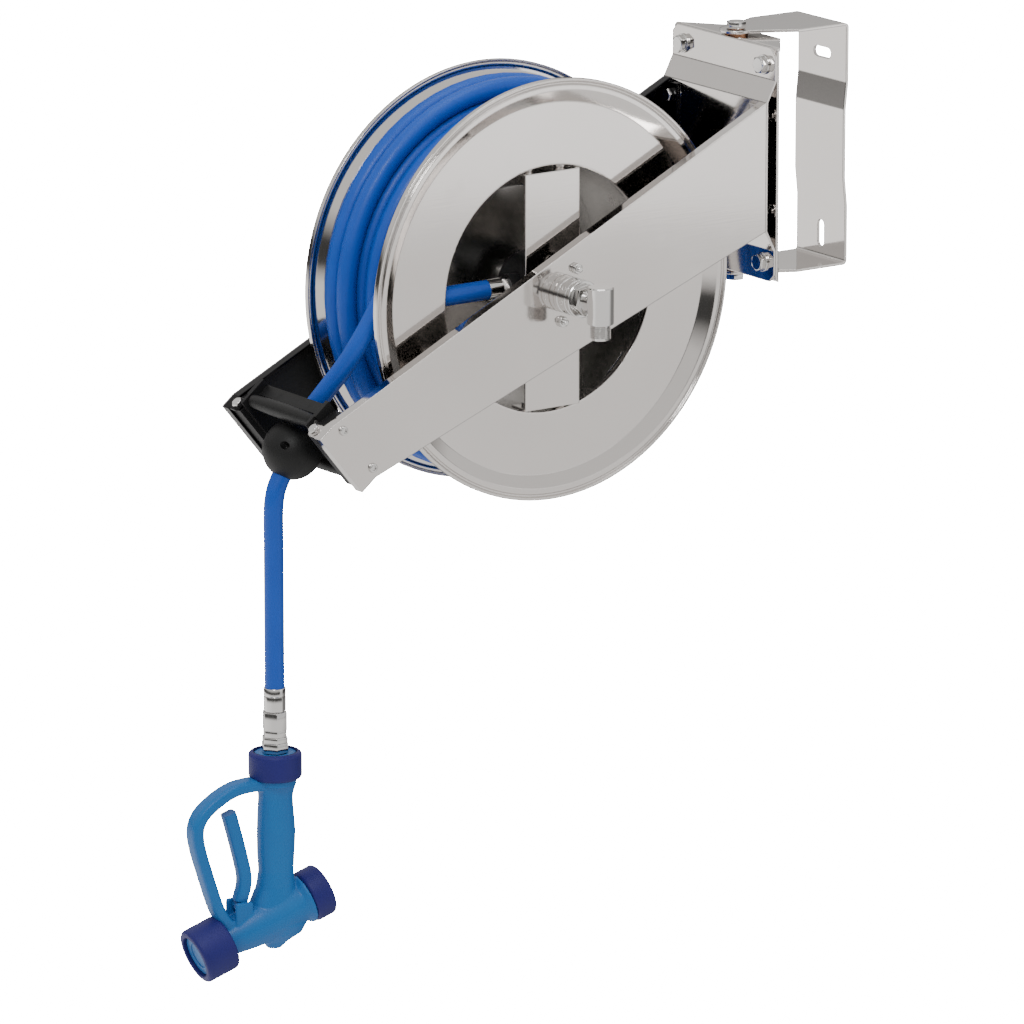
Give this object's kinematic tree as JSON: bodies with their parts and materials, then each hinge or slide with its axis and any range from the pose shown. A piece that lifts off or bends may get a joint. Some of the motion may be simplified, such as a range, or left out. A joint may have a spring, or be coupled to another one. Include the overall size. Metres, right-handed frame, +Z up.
{
  "type": "spring-rewind hose reel",
  "caption": "Stainless spring-rewind hose reel on a swivelling wall bracket, with blue washdown hose, ball stop, roller mouth and hanging washing gun.",
  "frame": {"origin": "On the wall plane, on the bracket's upper foot, 75 mm above the bracket's middle.", "axes": "+X along the drum axis towards the water inlet side, +Y into the wall, +Z up."},
  "size_m": [0.258, 0.7816, 0.9097],
  "materials": {
    "stainless_steel": "bright annealed, faintly grained",
    "machined_steel": "turned and milled stainless steel",
    "dark_steel": "dull stainless and spring steel",
    "bronze": "sintered bronze",
    "black_plastic": "fine-textured black nylon",
    "hose_rubber": "smooth satin blue rubber",
    "gun_blue": "light blue coating",
    "ring_rubber": "dark blue moulded rubber"
  },
  "bodies": {
    "wall_mount": {"wall_bracket": "stainless_steel", "pivot_bushes": "bronze"},
    "reel_frame": {"pivot_bolts": "machined_steel", "pivot_nuts": "machined_steel", "swivel_yoke": "stainless_steel", "hat_plate": "stainless_steel", "base_bolts": "machined_steel", "base_nuts": "machined_steel", "front_arm": "stainless_steel", "rear_arm": "stainless_steel", "arm_bolts": "machined_steel", "arm_nuts": "machined_steel", "guide_plates": "black_plastic", "guide_frame": "black_plastic", "guide_screws": "machined_steel", "lug_bolts": "machined_steel", "roller_pins": "machined_steel", "front_bearing": "black_plastic", "swivel_body": "machined_steel", "swivel_bolts": "machined_steel", "swivel_nut": "machined_steel", "inlet_elbow": "machined_steel", "rear_axle": "machined_steel", "axle_nut": "machined_steel", "pawl_pin": "machined_steel", "hose_run": "hose_rubber", "ball_outer": "black_plastic", "ball_inner": "black_plastic", "ball_screws": "machined_steel", "hose_ferrule": "machined_steel", "hose_nut": "machined_steel", "hose_nipple": "machined_steel"},
    "drum": {"front_disc": "stainless_steel", "rear_disc": "stainless_steel", "hub_shell": "dark_steel", "bridge_plate": "stainless_steel", "hub_boss": "black_plastic", "hollow_shaft": "machined_steel", "hub_fitting": "machined_steel", "hose_tail": "hose_rubber", "spring_case": "dark_steel", "spring_cover": "dark_steel", "motor_spring": "dark_steel", "drum_screws": "machined_steel", "ratchet_wheel": "dark_steel", "hose_winding": "hose_rubber"},
    "pawl_arm": {"pawl": "dark_steel"},
    "upper_roller": {"top_roller": "black_plastic"},
    "lower_roller": {"bottom_roller": "black_plastic"},
    "roller_front_side": {"front_roller": "black_plastic"},
    "roller_rear_side": {"rear_roller": "black_plastic"},
    "gun": {"gun_body": "gun_blue", "inlet_ring": "ring_rubber", "front_ring": "ring_rubber", "rear_ring": "ring_rubber", "nozzle": "gun_blue", "trigger_pin": "machined_steel"},
    "gun_trigger": {"trigger": "gun_blue"},
    "gun_stem": {"gun_valve": "dark_steel"}
  },
  "joints": [
    {"name": "reel_swivel", "type": "hinge", "parent": "wall_mount", "child": "reel_frame", "pos_m": [0, -0.113, -0.075], "axis": [0, 0, 1], "range_deg": [-80, 80]},
    {"name": "drum_spin", "type": "hinge", "parent": "reel_frame", "child": "drum", "pos_m": [0, -0.385, -0.175], "axis": [1, 0, 0], "continuous": true},
    {"name": "pawl_swing", "type": "hinge", "parent": "reel_frame", "child": "pawl_arm", "pos_m": [-0.075, -0.33425, -0.15133], "axis": [1, 0, 0], "range_deg": [0, 8], "stiffness_Nm_per_rad": 0.02, "springref_deg": -11.46},
    {"name": "upper_roller_turn", "type": "hinge", "parent": "reel_frame", "child": "upper_roller", "pos_m": [0, -0.66861, -0.27281], "axis": [1, 0, 0], "continuous": true},
    {"name": "lower_roller_turn", "type": "hinge", "parent": "reel_frame", "child": "lower_roller", "pos_m": [0, -0.62037, -0.33154], "axis": [1, 0, 0], "continuous": true},
    {"name": "front_roller_turn", "type": "hinge", "parent": "reel_frame", "child": "roller_front_side", "pos_m": [0.024, -0.6329, -0.29265], "axis": [0, -0.6347, 0.7727], "continuous": true},
    {"name": "rear_roller_turn", "type": "hinge", "parent": "reel_frame", "child": "roller_rear_side", "pos_m": [-0.024, -0.6329, -0.29265], "axis": [0, -0.6347, 0.7727], "continuous": true},
    {"name": "gun_swivel", "type": "hinge", "parent": "reel_frame", "child": "gun", "pos_m": [0, -0.6813, -0.6335], "axis": [0, 0, 1], "continuous": true},
    {"name": "trigger_squeeze", "type": "hinge", "parent": "gun", "child": "gun_trigger", "pos_m": [-0.005, -0.72199, -0.7765], "axis": [-0.9925, 0.1219, 0], "range_deg": [0, 11], "stiffness_Nm_per_rad": 1.5, "springref_deg": -20.05},
    {"name": "valve_travel", "type": "slide", "parent": "gun", "child": "gun_stem", "axis": [-0.1145, -0.9327, -0.342], "range_m": [0, 0.0046]}
  ],
  "couplings": [
    {"joint": "valve_travel", "follows": "trigger_squeeze", "m_per_rad": 0.022}
  ]
}
